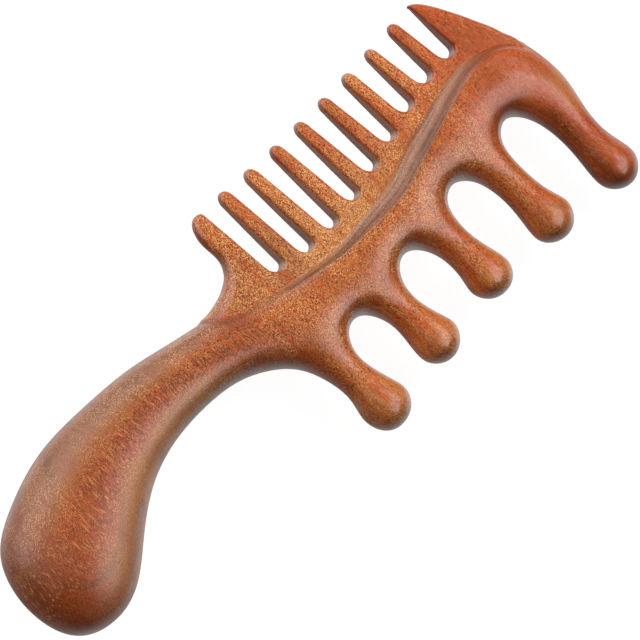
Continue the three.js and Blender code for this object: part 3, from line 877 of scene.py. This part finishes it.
    # The cove is cut steeply through the layers, with a line for each layer. Its grey is a painted reflection, the tan
    # band low on it a painted highlight, and the dark line at its crest painted shade.
    cove = add("Attribute", attribute_name="cove").outputs["Fac"]
    crest = add("Attribute", attribute_name="crest").outputs["Fac"]
    vein = noise(stretched(0.020, 0.05, 1.5, bent), 1.0, 3.0, 0.6)
    steep = times(cove, band(along, 78.0, 88.0, 1.0, 0.15))
    colour = mix(times(steep, 0.55), colour, REFLECTION_GREY)
    colour = mix(times(steep, band(level, 6.8, 5.0, 0.0, 0.6)), colour, HIGHLIGHT_TAN)
    colour = mix(times(steep, band(vein, 0.50, 0.58, 0.0, 0.85)), colour, SOOT)
    colour = mix(times(crest, 0.6), colour, DUSK)
    # Painted shade: the end of the handle is darker, least on its side turned to -Y.
    colour = mix(times(band(along, -76.0, -94.0, 0.0, 0.9), band(facing.outputs[1], -0.3, 0.3, 0.6, 1.0)), colour, DUSK)

    # Vessels: short golden dashes along the grain, dots where the grain ends at the surface.
    long = cells(stretched(1 / 0.30, 1 / 6.0, 1 / 0.30, bent))
    fine = cells(stretched(1 / 0.32, 1 / 0.7, 1 / 0.32, bent))
    # Golden flecks are fewer on faces turned to -X and at the finger roots, which is painted shade, and more on the
    # handle's faces turned to +Y, which is painted sheen.
    often = times(band(along, -40.0, 20.0, 0.42, 1.0), band(along, 54.0, 82.0, 1.0, 0.20))
    often = times(often, band(across, -14.0, 2.0, 0.7, 1.0))
    often = times(often, band(facing.outputs[0], -0.7, -0.3, 0.5, 1.0))
    often = times(often, band(dense, 0.36, 0.56, 0.35, 1.0))
    if not pale:
        often = times(often, band(facing.outputs[1], -0.50, -0.10, 1.0, 0.80))
        sheen_flecks = times(times(band(along, -6.0, -30.0), band(facing.outputs[1], 0.05, 0.40)), band(dense, 0.36, 0.56, 0.08, 0.24))
        often = add("Math", (0, often), (1, sheen_flecks), operation="ADD").outputs[0]
        often = times(often, band(root, 0.0, 1.0, 1.0, 0.65))
    often = times(often, band(ember, 0.0, 1.0, 1.0, 0.35))
    often = times(often, band(cove, 0.2, 0.8, 1.0, 0.4))
    dash = band(long.outputs["Distance"], 0.38, 0.16)
    dash = times(dash, band(add("SeparateColor", (0, long.outputs["Color"])).outputs[0], 0.20, 0.50))
    dot = band(fine.outputs["Distance"], 0.46, 0.22)
    shade = add("SeparateColor", (0, fine.outputs["Color"]))
    colour = mix(times(dot, band(shade.outputs[1], 0.45, 0.90, 0.0, 0.9)), colour, PORE)
    dot = times(times(dot, often), band(along, -40.0, -5.0, 0.35, 1.0))
    colour = mix(times(dot, band(shade.outputs[0], 0.45, 0.80, 0.0, 0.9)), colour, GOLD)
    colour = mix(times(times(dash, band(lean, 0.15, 0.40, 1.0, 0.2)), band(along, -45.0, -10.0, 0.95, 0.5)), colour, AMBER)
    colour = mix(times(band(hair, 0.53, 0.58, 0.0, 0.95), often), colour, GOLD)

    rough = band(fibre, 0.30, 0.70, 0.35, 0.28)
    rough = add("Math", (0, rough), (1, band(along, -15.0, -50.0, 0.0, 0.06)), operation="ADD").outputs[0]
    height = add("Math", (0, times(dash, -1.0)), (1, fibre), operation="ADD").outputs[0]
    bump = add("Bump", ("Strength", 0.12), ("Distance", 0.00004), ("Height", height))
    # Between the fingers and on top of the head the polish is finer.
    inner = times(times(band(along, -8.0, 4.0), band(across, 4.0, -3.0)), band(facing.outputs[1], -0.22, -0.60))
    top = times(times(band(along, 70.0, 82.0), band(across, -2.0, 4.0)), band(facing.outputs[2], 0.955, 0.985))
    fine = add("Math", (0, band(inner, 0.0, 1.0, 0.0, 0.12)), (1, band(slope, 0.0, 1.0, 0.0, 0.11)), operation="MAXIMUM").outputs[0]
    fine = add("Math", (0, fine), (1, band(top, 0.0, 1.0, 0.0, 0.04 if pale else 0.11)), operation="MAXIMUM").outputs[0]
    rough = add("Math", (0, rough), (1, fine), operation="SUBTRACT").outputs[0]
    bsdf = add(
        "BsdfPrincipled",
        ("Base Color", colour),
        ("Roughness", rough),
        ("Specular IOR Level", 1.0),
        ("Normal", bump.outputs[0]),
    )
    out = add("OutputMaterial")
    tree.links.new(bsdf.outputs[0], out.inputs[0])
    return mat


comb_body.data.materials.append(wood("body_wood", 0.55, 0.15, 0.0))
comb_plate.data.materials.append(wood("plate_wood", 0.20, 0.60, 0.04))

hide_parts("body")
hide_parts("tooth_plate")
for piece, slot in ((comb_body, "body_wood"), (comb_plate, "plate_wood")):
    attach(piece, "root")

# ------------------------------------------------------------------ stage, light and camera

scene = bpy.context.scene
floor_mesh = bpy.data.meshes.new("floor")
floor_mesh.from_pydata([(-14, -14, 0), (14, -14, 0), (14, 14, 0), (-14, 14, 0)], [], [(0, 1, 2, 3)])
floor = bpy.data.objects.new("floor", floor_mesh)
floor.location = (0, 0, CAD_BOX[0].z)
scene.collection.objects.link(floor)
white = bpy.data.materials.new("pale_floor")
white.use_nodes = True
shader = white.node_tree.nodes["Principled BSDF"]
shader.inputs["Base Color"].default_value = (0.12, 0.12, 0.12, 1)
shader.inputs["Roughness"].default_value = 0.9
shader.inputs["Emission Color"].default_value = (1, 1, 1, 1)
shader.inputs["Emission Strength"].default_value = 0.95
floor_mesh.materials.append(white)
floor.visible_diffuse = floor.visible_glossy = False


def softbox(name, azimuth, elevation, distance, width, height, power):
    """A square of light that faces the comb. Azimuth 0 is +X, 90 is +Y."""
    data = bpy.data.lights.new(name, "AREA")
    data.shape = "RECTANGLE"
    data.size, data.size_y, data.energy = width, height, power
    lamp = bpy.data.objects.new(name, data)
    a, e = math.radians(azimuth), math.radians(elevation)
    way = Vector((math.cos(a) * math.cos(e), math.sin(a) * math.cos(e), math.sin(e)))
    lamp.location = way * distance
    lamp.rotation_mode = "QUATERNION"
    lamp.rotation_quaternion = way.to_track_quat("Z", "Y")
    lamp.visible_camera = False
    scene.collection.objects.link(lamp)
    return lamp


softbox("tooth_side", 108, 23, 0.75, 1.4, 0.60, 4.2)
softbox("finger_side", -51, 44, 0.60, 0.68, 0.44, 2.0).visible_diffuse = False
softbox("head_side", 12, 46, 0.80, 0.60, 0.60, 6.0).visible_glossy = False
softbox("handle_side", 165, 58, 0.80, 0.60, 0.60, 1.8).visible_glossy = False

# Dim above. Below, what a pale table gives back: little from right under the comb, more from
# beside it, most of all on the tooth side.
world = bpy.data.worlds.new("studio")
world.use_nodes = True
nodes, links = world.node_tree.nodes, world.node_tree.links
way = nodes.new("ShaderNodeSeparateXYZ")
links.new(nodes.new("ShaderNodeTexCoord").outputs["Generated"], way.inputs[0])


def ramp(axis, *values):
    n = nodes.new("ShaderNodeMapRange")
    links.new(way.outputs[axis], n.inputs[0])
    for i, value in enumerate(values):
        n.inputs[i + 1].default_value = value
    return n.outputs[0]


def sums(kind, a, b):
    n = nodes.new("ShaderNodeMath")
    n.operation = kind
    links.new(a, n.inputs[0])
    links.new(b, n.inputs[1])
    return n.outputs[0]


table = sums("ADD", ramp(1, 0.0, 0.7, 0.17, 1.45), ramp(1, 0.0, -0.6, 0.0, 0.62))
table = sums("ADD", table, ramp(0, 0.3, 0.8, 0.0, 0.80))
table = sums("MULTIPLY", table, ramp(0, -0.2, -0.8, 1.0, 0.45))
table = sums("MULTIPLY", table, ramp(2, -0.50, 0.03, 1.0, 0.0))
table = sums("ADD", table, ramp(2, 0.0, 1.0, 0.035, 0.03))
nodes["Background"].inputs[0].default_value = (1, 1, 1, 1)
links.new(table, nodes["Background"].inputs[1])
scene.world = world
scene.view_settings.view_transform = "Standard"

TO_CAMERA = Vector((-0.20763905, 0.05119532, 0.97686492))
E1, E2 = Vector((0.97820551, 0.01086699, 0.20735449)), Vector((0, 0.99862954, -0.05233596))
RIGHT, UP = (E1 - E2) / math.sqrt(2), (E1 + E2) / math.sqrt(2)
VIEW_WIDTH, DISTANCE = 157.15 * MM, 7.0
aim = RIGHT * (33.5 * VIEW_WIDTH / 640) + UP * (13.2 * VIEW_WIDTH / 640)
VIEW_WIDTH, aim = VIEW_WIDTH * FIT, (aim - Vector(MIDDLE * MM)) * float(FIT)
camera_data = bpy.data.cameras.new("camera")
camera_data.sensor_width = 36
camera_data.lens = 36 * DISTANCE / VIEW_WIDTH
camera_data.clip_start, camera_data.clip_end = 0.1, 20
camera = bpy.data.objects.new("camera", camera_data)
turn = Matrix((RIGHT, UP, TO_CAMERA)).transposed().to_4x4()
camera.matrix_world = Matrix.Translation(aim + TO_CAMERA * DISTANCE) @ turn
scene.collection.objects.link(camera)
scene.camera = camera

bpy.context.view_layer.update()
